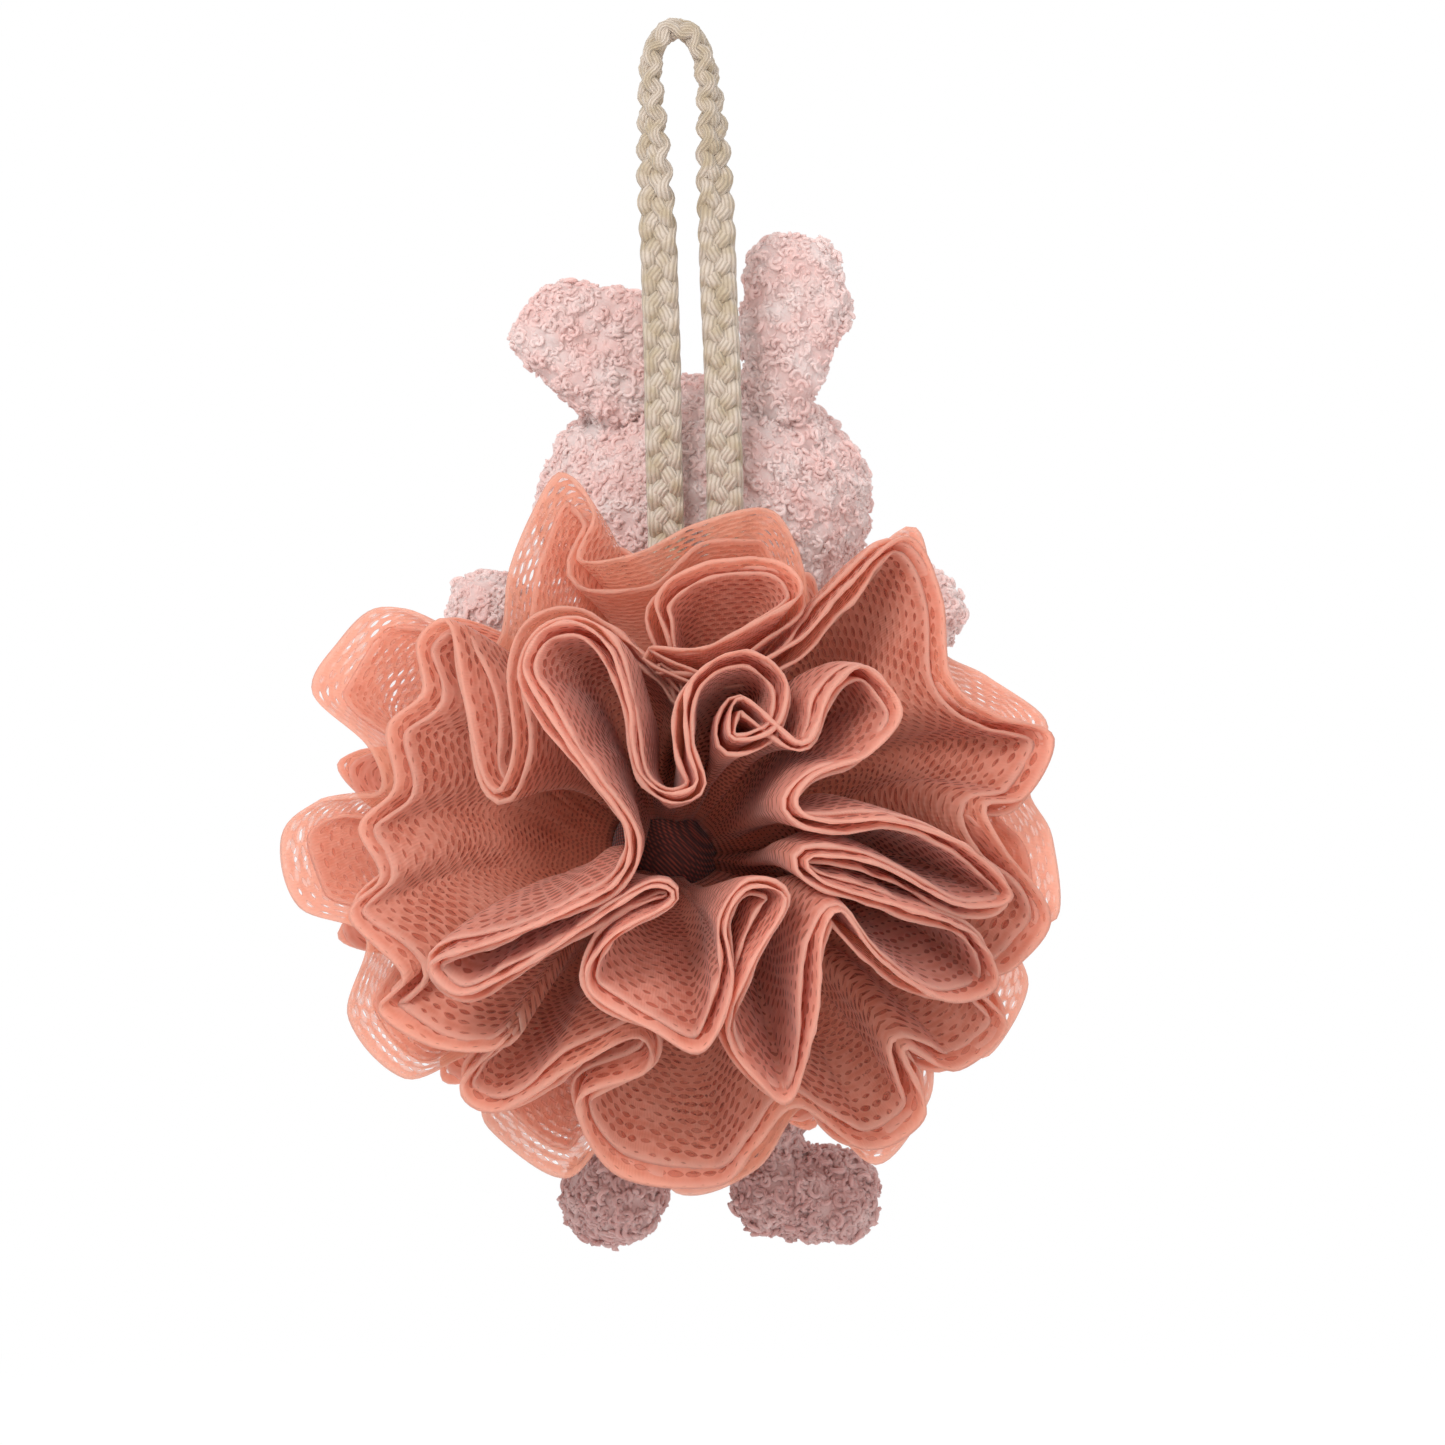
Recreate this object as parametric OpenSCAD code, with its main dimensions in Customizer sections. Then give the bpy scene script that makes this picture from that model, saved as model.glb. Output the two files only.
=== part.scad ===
// Bath scrubber: a ruffled netting puff tied to the back of a stuffed rabbit,
// hung by a loop of braided cotton cord.
// The origin is the inside of the loop's top, where the hook bears.
// +Z is up, -Y is the scrubbing side of the puff, +Y is the rabbit's face.

/* [Puff] */
// Greatest radius of the puff, across its width
puff_w = 77; // [60:1:95]
// Greatest radius of the puff, up and down
puff_h = 69; // [55:1:85]
// Reach of the ruffles in front of the hub
puff_depth = 53; // [40:1:65]
// Radius of the open well in the scrubbing side
well_r = 10.5; // [8:0.5:11]
// Radius of the hub where the netting is gathered
hub_r = 11.7; // [9:0.1:14]
// Radius of the tied neck behind the hub
neck_r = 5; // [3.5:0.25:6]

/* [Ruffles] */
// Folds in the ruffle round the well
inner_folds = 9; // [6:1:14]
// Folds in the middle ruffle
middle_folds = 11; // [7:1:16]
// Folds in the outer ruffle
outer_folds = 12; // [8:1:18]
// Folds in the ruffle behind, which stays clear of the cord
back_folds = 9; // [5:1:12]
// Angle left open between neighbouring folds
fold_gap = 3; // [2:0.5:6]
// Angle left open between neighbouring ruffles
ruffle_gap = 2; // [1.5:0.5:4]
// How far every second fold stands, as a share of its neighbours
low_fold = 0.96; // [0.85:0.01:1]

/* [Cord] */
// Width of the flat braid
cord_w = 7.6; // [5:0.1:9]
// Thickness of the flat braid
cord_t = 4.6; // [3:0.1:5.5]
// Radius of the knot that ends the cord
knot_r = 6.4; // [5.8:0.1:7.5]
// Height of the knot
knot_h = 9; // [7:0.5:12]

/* [Rabbit] */
// Half the width of the head
head_w = 35; // [28:1:42]
// Radius of the head seen from the side
head_r = 27.5; // [22:0.5:30]
// Radius of the chest
chest_r = 15; // [12:0.5:18]
// Radius of the belly
belly_r = 22; // [17:0.5:26]
// Distance from the chest's centre to the belly's centre
trunk_length = 47; // [35:1:60]
// Thickness of the fleece, with its pile
cover_t = 2; // [1.2:0.1:3]
// Thickness of an ear
ear_t = 12; // [8:0.5:15]
// Length of an arm between its two round ends
arm_length = 30; // [22:1:38]
// Radius of the paw
paw_r = 9.2; // [7:0.2:11]
// Length of a leg from hip to heel
leg_length = 35; // [28:1:44]
// Radius of the toe end of a foot
toe_r = 11; // [8:0.5:13]

/* [Face] */
// Radius of an eye
eye_r = 3.6; // [2.5:0.1:5]
// Distance of each eye from the middle of the face
eye_spread = 14; // [10:0.5:18]
// Radius of the eye's shank
shank_r = 1.5; // [1:0.1:2]
// Half the width of the embroidered nose
nose_r = 3.4; // [2.5:0.1:5]

/* [Fits] */
// Clearance between pieces that move on each other
joint_gap = 0.4; // [0.3:0.05:0.6]
// Clearance between pieces that sit in each other
seat_gap = 0.15; // [0.1:0.05:0.3]

/* [Hidden] */
$fn = 48;

netting_colour = [0.86, 0.52, 0.42];
hub_colour = [0.72, 0.36, 0.28];
fleece_colour = [0.95, 0.79, 0.78];
filling_colour = [0.96, 0.96, 0.94];
cord_colour = [0.82, 0.76, 0.66];
tie_colour = [0.93, 0.9, 0.86];
bead_colour = [0.06, 0.05, 0.05];
nose_colour = [0.78, 0.45, 0.48];

arc_steps = 16;                       // straight steps in each rounded outline
puff_at = [-1.8, -22, -162.5];        // centre of the hub
well_shift = [8.5, 2.5];              // how far the well lies off the hub's axis, in X and Z
well_floor = hub_r + 7;               // how far in front of the hub's centre the well stops
ruffle_root = hub_r + 0.3;            // distance of every ruffle's gathered edge from the hub's centre
inner_span = [6, 50];                 // angles of each ruffle from the puff's axis, front to back
middle_span = [inner_span[1] + ruffle_gap, 76];
outer_span = [middle_span[1] + ruffle_gap, 99];
back_span = [outer_span[1] + ruffle_gap, 145];
cord_sector = 80;                     // angle kept free of the back ruffle, for the cord

tail_flare = 3;
tail_length = 3;
tie_wire = 1.4;                       // radius of the tie's own section
tie_ring = neck_r + tie_wire + 0.2;
hub_back = puff_at[1] + hub_r;
tie_y = hub_back + tie_wire;
tape_t = 0.8;
tape_w = 3;
tab_w = 6;
tape_y = tie_y + tie_wire + 0.4 + tape_w / 2;
tape_ring = neck_r + 0.3;
tail_y = tape_y + tape_w / 2 + 0.4;
knot_at = puff_at + [2, tie_y - puff_at[1], tie_ring + tie_wire + 0.3];

rabbit_x = 5.5;
head_at = [rabbit_x, 27, -92.5];
chest_at = [rabbit_x, 27, -131];
belly_at = [rabbit_x, 32, chest_at[2] - trunk_length];
shoulder_r = 6.5;
shoulder_reach = chest_r + 2.2;       // from the trunk's middle to a shoulder
shoulder_rise = 4;                    // of a shoulder above the chest's centre
arm_lift = 24;                        // how far an arm rises outwards, in degrees
hip_r = 7.5;
hip_spread = 13.5;
hip_drop = belly_r - 1;
ankle_r = 6;
heel_r = 9.5;
toe_end_r = toe_r - joint_gap;        // of a foot, kept clear of what lies in front of it
foot_length = [10, 13];               // from heel to toe, left and right
ear_root_r = ear_t / 2;
ear_root_w = 12;
ear_spread = 17;                      // from the middle of both ears to each
ear_shift = 1.5;                      // of both ears to the left of the head's middle
ear_back = 13;                        // of an ear's root behind the head's middle
ear_rise = 20;                        // of an ear's root above the head's middle
ear_lean = 12;                        // how far back an ear can lean before it meets the head
ear_room = 4;                         // spare length of the groove that an ear is sewn in
slot_inset = 0.1;                     // of the groove's straight walls from its round bottom
eye_rise = 3;
shank_length = 5;
shank_bore = 12;                      // length of the hole for an eye's shank
bore_start = 2;                       // how far outside the face that hole starts
washer_r = 3.2;
washer_t = 0.8;
washer_depth = cover_t + 0.5;
back_limit = belly_at[1] - belly_r - joint_gap - puff_at[1];

// The cord's own line, from one end over the loop's top to the other end.
cord_route = [
    [0.2, -11.4, -144.9], [0.1, -11, -138], [-0.7, -8.6, -127], [-1.5, -6.4, -116], [-2, -5.2, -106],
    [-2.4, -5, -93], [-2.8, -5, -78], [-3, -5, -64], [-3.4, -5, -52], [-3.8, -5, -40],
    [-4.5, -5, -28], [-5, -5, -17], [-5.3, -5, -10], [-5.3, -5, -5], [-4.4, -5, -1.2],
    [-2.6, -5, 1.3], [0, -5, 2.4], [2.6, -5, 1.3], [4.5, -5, -1.4], [5.6, -5, -5],
    [6.4, -5, -10], [7, -5, -17], [7.5, -5, -28], [8, -5, -40], [8.4, -5, -52],
    [9, -5, -64], [9.3, -5, -78], [9.6, -5, -93], [9, -4.8, -106], [7, -4.6, -116],
    [3.4, -5, -127], [0.6, -6, -138], [0.2, -6.4, -144.9]
];
cord_sides = 10;
cord_top = 16;                        // number of the route's highest point
cord_turn = 9;                        // points over which the braid turns edge on

// ---- outlines ----

// Half outline of a form with two round ends, r0 at the origin and r1 at distance d up the axis.
function pill(r0, r1, d) =
    let (tilt = asin((r0 - r1) / d))
    concat(
        [for (i = [0:arc_steps]) let (a = -90 + (90 + tilt) * i / arc_steps) [r0 * cos(a), r0 * sin(a)]],
        [for (i = [0:arc_steps]) let (a = tilt + (90 - tilt) * i / arc_steps) [r1 * cos(a), d + r1 * sin(a)]]
    );

// Half outline of a rounded egg, w along the axis and r across it.
function egg(w, r) =
    [for (i = [0:2 * arc_steps]) let (a = -90 + 90 * i / arc_steps) [r * cos(a), w * sin(a)]];

// How far the puff reaches at an angle from its axis and a clock angle round it.
function reach(tilt, clock) =
    let (
        across = puff_w * puff_h / norm([puff_h * cos(clock), puff_w * sin(clock)]),
        round = 1 / norm([sin(tilt) / across, cos(tilt) / puff_depth])
    )
    tilt > 90 ? min(round, -back_limit / cos(tilt)) : round;

// Half outline of a fold, from the hub out to a share of the puff's reach.
function fan(span, clock, stand) =
    let (n = arc_steps / 2)
    concat(
        [for (i = [0:n]) let (t = span[0] + (span[1] - span[0]) * i / n)
            stand * reach(t, clock) * [sin(t), cos(t)]],
        [for (i = [0:n]) let (t = span[1] - (span[1] - span[0]) * i / n)
            ruffle_root * [sin(t), cos(t)]]
    );

// ---- shapes that repeat ----

module spin(points) rotate_extrude() polygon(points);

// Puts a form drawn up the Z axis along a direction, from a point.
module along(from, dir) {
    turn = atan2(dir[1], dir[0]);
    lean = acos(dir[2] / norm(dir));
    translate(from) rotate([0, lean, turn]) children();
}

// A gathered ruffle: separate folds, fanned round the hub from clock angle start over sweep.
module ruffle(folds, span, start, sweep) {
    step = sweep / folds;
    translate(puff_at) rotate([90, 0, 0])
        for (i = [0:folds - 1])
            rotate([0, 0, start + i * step + fold_gap / 2])
                rotate_extrude(angle = step - fold_gap)
                    polygon(fan(span, start + (i + 0.5) * step, i % 2 == 0 ? 1 : low_fold));
}

module head_form(grow) {
    translate(head_at) rotate([0, 90, 0]) spin(egg(head_w + grow, head_r + grow));
}

// side is -1 for the rabbit's piece on the left of the view and 1 for the right.
function shoulder_at(side) = chest_at + [side * shoulder_reach, -1, shoulder_rise];
function hip_at(side) = belly_at + [side * hip_spread, -1, -hip_drop];
function arm_dir(side) = [side * cos(arm_lift), 0, sin(arm_lift)];
function leg_dir(side) = side < 0 ? [-0.1, -0.06, -1] : [0.02, -0.03, -1];
function heel_at(side) = hip_at(side) + leg_length * leg_dir(side) / norm(leg_dir(side));
function toe_dir(side) = side < 0 ? [-0.25, 1, -0.15] : [1, 0.42, -0.05];
function ear_root(side) = head_at + [side * ear_spread - ear_shift, -ear_back, ear_rise];

module arm_form(side, grow) {
    along(shoulder_at(side), arm_dir(side)) spin(pill(shoulder_r + grow, paw_r + grow, arm_length));
}

module leg_form(side, grow) {
    length = side < 0 ? foot_length[0] : foot_length[1];
    union() {
        along(hip_at(side), leg_dir(side)) spin(pill(hip_r + grow, ankle_r + grow, leg_length));
        along(heel_at(side), toe_dir(side)) spin(pill(heel_r + grow, toe_end_r + grow, length));
    }
}

// The trunk, dished where the head, arms and legs are sewn in.
module torso_form(inset, gap) {
    difference() {
        along(belly_at, chest_at - belly_at)
            spin(pill(belly_r - inset, chest_r - inset, norm(chest_at - belly_at)));
        head_form(gap);
        for (side = [-1, 1]) {
            translate(shoulder_at(side)) sphere(shoulder_r + gap);
            translate(hip_at(side)) sphere(hip_r + gap);
        }
    }
}

// The groove in the head in which an ear is sewn, open as far back as the ear leans.
module ear_groove(side, grow) {
    groove_w = ear_root_w + ear_room + 2 * grow;
    slot_r = ear_root_r + grow - slot_inset;
    translate(ear_root(side)) {
        rotate([0, 90, 0]) cylinder(h = groove_w, r = ear_root_r + grow, center = true);
        rotate([-ear_lean, 0, 0]) translate([-groove_w / 2 + slot_inset, -slot_r, 0])
            cube([groove_w - 2 * slot_inset, 2 * slot_r, head_r]);
    }
}

// An ear: its sewn root and the points that its blade is drawn round, in X and Z from the root.
module ear_form(side, blade) {
    hull() {
        translate(ear_root(side)) rotate([0, 90, 0])
            cylinder(h = ear_root_w, r = ear_root_r, center = true, $fn = 32);
        for (p = blade)
            translate(ear_root(side) + [p[0], 0, p[1]]) sphere(ear_root_r, $fn = 32);
    }
}

// Where an eye sits on the face, and the way it looks.
function face_depth(dx, dz) = sqrt(pow(head_r, 2) * (1 - pow(dx / head_w, 2)) - dz * dz);
function eye_at(side) = head_at + [side * eye_spread, face_depth(eye_spread, eye_rise), eye_rise];
function eye_dir(side) = [
    side * eye_spread / pow(head_w, 2),
    face_depth(eye_spread, eye_rise) / pow(head_r, 2),
    eye_rise / pow(head_r, 2)
];

module head_solid(inset, gap, hole_r) {
    difference() {
        head_form(-inset);
        for (side = [-1, 1]) {
            ear_groove(side, gap);
            along(eye_at(side), -eye_dir(side)) translate([0, 0, -bore_start]) cylinder(h = shank_bore, r = hole_r);
        }
    }
}

// ---- cord ----

function unit(v) = v / norm(v);
function heading(i) =
    let (last = len(cord_route) - 1)
    unit(cord_route[min(i + 1, last)] - cord_route[max(i - 1, 0)]);
// The braid lies flat against the rabbit down both sides, and turns edge on over the top.
function edge_on(i) = 90 * pow(max(0, 1 - abs(i - cord_top) / cord_turn), 0.8);
function cord_ring(i) =
    let (
        ahead = heading(i),
        side = unit(cross(ahead, [0, 1, 0])),
        back = cross(side, ahead),
        a = edge_on(i)
    )
    [for (k = [0:cord_sides - 1])
        let (
            w = cord_w / 2 * cos(360 * k / cord_sides),
            t = cord_t / 2 * sin(360 * k / cord_sides)
        )
        cord_route[i] + (w * cos(a) - t * sin(a)) * side + (w * sin(a) + t * cos(a)) * back];

module hang_cord() {
    rings = len(cord_route);
    color(cord_colour) polyhedron(
        points = [for (i = [0:rings - 1]) each cord_ring(i)],
        faces = concat(
            [[for (k = [0:cord_sides - 1]) k]],
            [for (i = [0:rings - 2], k = [0:cord_sides - 1])
                let (a = i * cord_sides + k, b = i * cord_sides + (k + 1) % cord_sides)
                each [[a, a + cord_sides, b], [b, a + cord_sides, b + cord_sides]]],
            [[for (k = [0:cord_sides - 1]) rings * cord_sides - 1 - k]]
        )
    );
}

module cord_knot() {
    edge = 1.5;
    color(cord_colour) translate(knot_at) spin([
        [0, 0], [knot_r - edge, 0], [knot_r, edge],
        [knot_r, knot_h - edge], [knot_r - edge, knot_h], [0, knot_h]
    ]);
}

// ---- puff ----

module core_tie() {
    color(tie_colour) translate([puff_at[0], tie_y, puff_at[2]]) rotate([90, 0, 0])
        rotate_extrude() translate([tie_ring, 0]) circle(tie_wire);
}

module netting_hub() {
    color(hub_colour) translate(puff_at) union() {
        sphere(hub_r);
        rotate([-90, 0, 0]) cylinder(h = tail_y + 1 - puff_at[1], r = neck_r);
        translate([0, tail_y - puff_at[1], 0]) rotate([-90, 0, 0])
            cylinder(h = tail_length, r1 = neck_r + 1, r2 = neck_r + tail_flare);
    }
}

module netting_inner_ruffle() {
    color(netting_colour) difference() {
        ruffle(inner_folds, inner_span, 10, 360);
        translate(puff_at + [well_shift[0], -well_floor, well_shift[1]]) rotate([90, 0, 0])
            cylinder(h = puff_depth, r = well_r);
    }
}

module netting_middle_ruffle() {
    color(netting_colour) ruffle(middle_folds, middle_span, 0, 360);
}

module netting_outer_ruffle() {
    color(netting_colour) ruffle(outer_folds, outer_span, -15, 360);
}

module netting_back_ruffle() {
    color(netting_colour) ruffle(back_folds, back_span, 90 + cord_sector / 2, 360 - cord_sector);
}

// A loop of tape round the tied neck, with its tail sewn to the rabbit's back.
module back_tape() {
    tab_z = puff_at[2] - neck_r - tail_flare - 0.3 - tape_t;
    ring_z = puff_at[2] - tape_ring - tape_t / 2;
    down = (chest_at[2] - tab_z) / trunk_length;
    trunk_r = chest_r + (belly_r - chest_r) * down;
    tab_end = chest_at[1] + (belly_at[1] - chest_at[1]) * down - trunk_r - 3 * seat_gap;
    color(tie_colour) union() {
        translate([puff_at[0], tape_y - tape_w / 2, puff_at[2]]) rotate([-90, 0, 0])
            difference() {
                cylinder(h = tape_w, r = tape_ring + tape_t);
                translate([0, 0, -1]) cylinder(h = tape_w + 2, r = tape_ring);
            }
        translate([puff_at[0] - tab_w / 2, tape_y - tape_w / 2, tab_z])
            cube([tab_w, tape_w, ring_z - tab_z]);
        translate([puff_at[0] - tab_w / 2, tape_y - tape_w / 2, tab_z])
            cube([rabbit_x - puff_at[0], tab_end - tape_y + tape_w / 2, tape_t]);
    }
}

// ---- rabbit ----

module torso_cover() {
    color(fleece_colour) difference() {
        torso_form(0, joint_gap);
        torso_form(cover_t, joint_gap + cover_t);
    }
}

module torso_filling() {
    color(filling_colour) torso_form(cover_t + seat_gap, joint_gap + cover_t + seat_gap);
}

module head_cover() {
    color(fleece_colour) difference() {
        head_solid(0, joint_gap, shank_r + seat_gap);
        head_solid(cover_t, joint_gap + cover_t, shank_r);
    }
}

module head_filling() {
    color(filling_colour)
        head_solid(cover_t + seat_gap, joint_gap + cover_t + seat_gap, washer_r + seat_gap);
}

module ear_left() {
    color(fleece_colour) ear_form(-1, [[-15, 15], [-11, 20], [2, 17], [-6, 4]]);
}

module ear_right() {
    color(fleece_colour) ear_form(1, [[-1, 20], [8, 20], [0, 29], [6.5, 29.5]]);
}

module eye(side) {
    color(bead_colour) along(eye_at(side), eye_dir(side)) union() {
        translate([0, 0, seat_gap]) intersection() {
            translate([0, 0, -eye_r * 0.35]) sphere(eye_r * 1.08);
            cylinder(h = 2 * eye_r, r = 2 * eye_r);
        }
        translate([0, 0, -shank_length]) cylinder(h = shank_length + 1, r = shank_r);
    }
}

module eye_left() eye(-1);
module eye_right() eye(1);

module eye_washers() {
    color(tie_colour) for (side = [-1, 1])
        along(eye_at(side), -eye_dir(side)) translate([0, 0, washer_depth]) difference() {
            cylinder(h = washer_t, r = washer_r);
            translate([0, 0, -1]) cylinder(h = washer_t + 2, r = shank_r + seat_gap);
        }
}

module nose() {
    drop = -3;
    color(nose_colour) translate(head_at + [0, head_r + seat_gap, drop])
        rotate([-90, 0, 0]) cylinder(h = 1.6, r1 = nose_r, r2 = nose_r * 0.6);
}

module limb_cover(side, leg) {
    color(fleece_colour) difference() {
        if (leg) leg_form(side, 0); else arm_form(side, 0);
        if (leg) leg_form(side, -cover_t); else arm_form(side, -cover_t);
    }
}

module limb_filling(side, leg) {
    inset = cover_t + seat_gap;
    color(filling_colour) if (leg) leg_form(side, -inset); else arm_form(side, -inset);
}

module arm_left_cover() limb_cover(-1, false);
module arm_left_filling() limb_filling(-1, false);
module arm_right_cover() limb_cover(1, false);
module arm_right_filling() limb_filling(1, false);
module leg_left_cover() limb_cover(-1, true);
module leg_left_filling() limb_filling(-1, true);
module leg_right_cover() limb_cover(1, true);
module leg_right_filling() limb_filling(1, true);

hang_cord();
cord_knot();
core_tie();
netting_hub();
netting_inner_ruffle();
netting_middle_ruffle();
netting_outer_ruffle();
netting_back_ruffle();
back_tape();
torso_cover();
torso_filling();
head_cover();
head_filling();
ear_left();
ear_right();
eye_left();
eye_right();
eye_washers();
nose();
arm_left_cover();
arm_left_filling();
arm_right_cover();
arm_right_filling();
leg_left_cover();
leg_left_filling();
leg_right_cover();
leg_right_filling();
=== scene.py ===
# %% [markdown]
# # A netting bath puff with a plush rabbit
# The object is a bath puff of knitted netting, gathered at a hub, with a stuffed rabbit tied to its back and
# a braided loop to hang it by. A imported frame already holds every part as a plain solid. This lesson gives
# each part its real surface: folded netting, curly fleece and a plaited cord. Lengths are in metres, and
# the points of a shape are written in millimetres and turned into metres as they are used.

# %% Load the frame
import math
import random

import bmesh
import bpy
from mathutils import Matrix, Vector, noise


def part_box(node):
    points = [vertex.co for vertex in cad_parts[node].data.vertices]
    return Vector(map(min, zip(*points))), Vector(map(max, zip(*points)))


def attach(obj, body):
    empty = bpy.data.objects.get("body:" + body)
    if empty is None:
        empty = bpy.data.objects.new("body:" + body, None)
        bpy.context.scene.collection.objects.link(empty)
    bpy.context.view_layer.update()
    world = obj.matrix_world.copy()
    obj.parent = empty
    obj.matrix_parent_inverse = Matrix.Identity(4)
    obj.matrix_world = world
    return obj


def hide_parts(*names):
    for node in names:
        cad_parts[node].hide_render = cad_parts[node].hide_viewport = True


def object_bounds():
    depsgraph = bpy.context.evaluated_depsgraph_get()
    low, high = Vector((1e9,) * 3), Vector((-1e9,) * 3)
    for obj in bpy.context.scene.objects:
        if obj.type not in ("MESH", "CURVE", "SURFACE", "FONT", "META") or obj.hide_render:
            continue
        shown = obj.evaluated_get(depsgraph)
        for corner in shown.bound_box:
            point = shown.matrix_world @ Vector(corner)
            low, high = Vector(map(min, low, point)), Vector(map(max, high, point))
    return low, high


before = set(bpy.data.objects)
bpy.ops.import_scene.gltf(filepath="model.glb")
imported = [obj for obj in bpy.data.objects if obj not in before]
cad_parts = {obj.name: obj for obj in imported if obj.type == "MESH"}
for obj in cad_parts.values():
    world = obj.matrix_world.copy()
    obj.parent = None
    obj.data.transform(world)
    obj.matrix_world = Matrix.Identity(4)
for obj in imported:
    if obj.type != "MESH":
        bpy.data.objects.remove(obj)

MM = 0.001
cad_box = [[float(v) for v in corner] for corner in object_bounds()]
print("the frame holds", len(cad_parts), "nodes in a box", cad_box)


def at(x, y, z):
    """A point given in millimetres, as a vector in metres."""
    return Vector((x, y, z)) * MM


def middle(node):
    """The middle of a node's box."""
    low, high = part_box(node)
    return (Vector(low) + Vector(high)) / 2


# %% [markdown]
# ## The camera
# A product is often seen from a metre or more away through a long lens, which keeps its proportions
# true. A shorter lens would swell the near folds of the puff. The lens is worked out from the width that the
# view should take in at the object's distance.

# %% Place the camera
VIEW_WIDTH = 289 * MM
VIEW_DISTANCE = 1.5
VIEW_CENTRE = at(9.1, -12, -137.1)
SENSOR_WIDTH = 36

lens = bpy.data.cameras.new("camera")
lens.sensor_width = SENSOR_WIDTH
lens.lens = SENSOR_WIDTH * VIEW_DISTANCE / VIEW_WIDTH
camera = bpy.data.objects.new("camera", lens)
camera.location = VIEW_CENTRE - Vector((0, VIEW_DISTANCE, 0))
camera.rotation_euler = (math.radians(90), 0, 0)
bpy.context.scene.collection.objects.link(camera)
bpy.context.scene.camera = camera
bpy.context.scene.view_settings.view_transform = "Standard"
print("lens", round(lens.lens, 1), "mm")

# %% [markdown]
# ## Sums inside a finish
# A finish is a tree of nodes, and most of its nodes only add, multiply or compare. A small class that knows
# plain arithmetic lets a pattern be written as a formula, which is far easier to read than a list of links.


# %% A number in a finish, and the finish itself
def paint(code):
    """The linear colour of a painter's six-figure code."""
    parts = [int(code[i:i + 2], 16) / 255 for i in (0, 2, 4)]
    linear = [p / 12.92 if p < 0.04045 else ((p + 0.055) / 1.055) ** 2.4 for p in parts]
    return (*linear, 1)


class Amount:
    """A number or colour at every point of a surface."""

    def __init__(self, finish, socket):
        self.finish = finish
        self.socket = socket

    def sum(self, operation, *others):
        values = dict(enumerate([self, *others]))
        return self.finish.node("ShaderNodeMath", values, operation=operation)

    def __add__(self, other):
        return self.sum("ADD", other)

    def __sub__(self, other):
        return self.sum("SUBTRACT", other)

    def __mul__(self, other):
        return self.sum("MULTIPLY", other)

    def __truediv__(self, other):
        return self.sum("DIVIDE", other)

    def __pow__(self, other):
        return self.sum("POWER", other)

    def __abs__(self):
        return self.sum("ABSOLUTE")

    def __rsub__(self, other):
        return self * -1 + other

    __radd__ = __add__
    __rmul__ = __mul__

    def floor(self):
        return self.sum("FLOOR")

    def part(self):
        return self.sum("FRACT")

    def sine(self):
        return self.sum("SINE")

    def step(self, low, high):
        """0 below low, 1 above high, and smooth between."""
        ends = {"Value": self, "From Min": low, "From Max": high}
        return self.finish.node("ShaderNodeMapRange", ends, interpolation_type="SMOOTHSTEP")


class Finish:
    """A material whose nodes are made one call at a time."""

    def __init__(self, name, **constants):
        self.material = bpy.data.materials.new(name)
        self.material.use_nodes = True
        self.tree = self.material.node_tree
        self.tree.nodes.clear()
        self.shader = self.tree.nodes.new("ShaderNodeBsdfPrincipled")
        for key, value in constants.items():
            self.shader.inputs[key.replace("_", " ")].default_value = value
        self.object_place = self.node("ShaderNodeTexCoord", output="Object")

    def node(self, kind, inputs=None, output=0, **settings):
        made = self.tree.nodes.new(kind)
        for key, value in settings.items():
            setattr(made, key, value)
        for key, value in (inputs or {}).items():
            self.feed(made.inputs[key], value)
        return Amount(self, made.outputs[output])

    def feed(self, socket, value):
        if isinstance(value, Amount):
            self.tree.links.new(value.socket, socket)
        else:
            socket.default_value = value

    def set(self, **inputs):
        for key, value in inputs.items():
            self.feed(self.shader.inputs[key.replace("_", " ")], value)

    def noise(self, size, detail=3):
        """A cloudy pattern, from 0 to 1, with lumps of that size in metres."""
        where = {"Vector": self.object_place, "Scale": 1 / size, "Detail": detail}
        return self.node("ShaderNodeTexNoise", where)

    def blend(self, share, first, second):
        """first where share is 0 and second where it is 1."""
        mixed = {0: share, 6: first, 7: second}
        return self.node("ShaderNodeMix", mixed, output=2, data_type="RGBA", clamp_factor=True)

    def bump(self, height, depth, strength=0.6):
        """A relief of that depth in metres."""
        relief = {"Height": height, "Distance": depth, "Strength": strength}
        self.set(Normal=self.node("ShaderNodeBump", relief))

    def uv(self, name):
        """The two numbers of a piece's own map."""
        place = self.node("ShaderNodeUVMap", uv_map=name)
        split = self.node("ShaderNodeSeparateXYZ", {0: place})
        return split, Amount(self, split.socket.node.outputs[1])

    def done(self, surface=None):
        output = self.tree.nodes.new("ShaderNodeOutputMaterial")
        surface = surface.socket if surface else self.shader.outputs[0]
        self.tree.links.new(surface, output.inputs["Surface"])
        return self.material


# %% [markdown]
# ## The room
# The object hangs in front of plain white. The white comes from the colour that the world shows to the
# camera, and not from more light, so pale fleece doesn't burn out. A broad lamp above the camera models
# the folds, a second one fills them, and one behind makes the thin netting glow.

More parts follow.
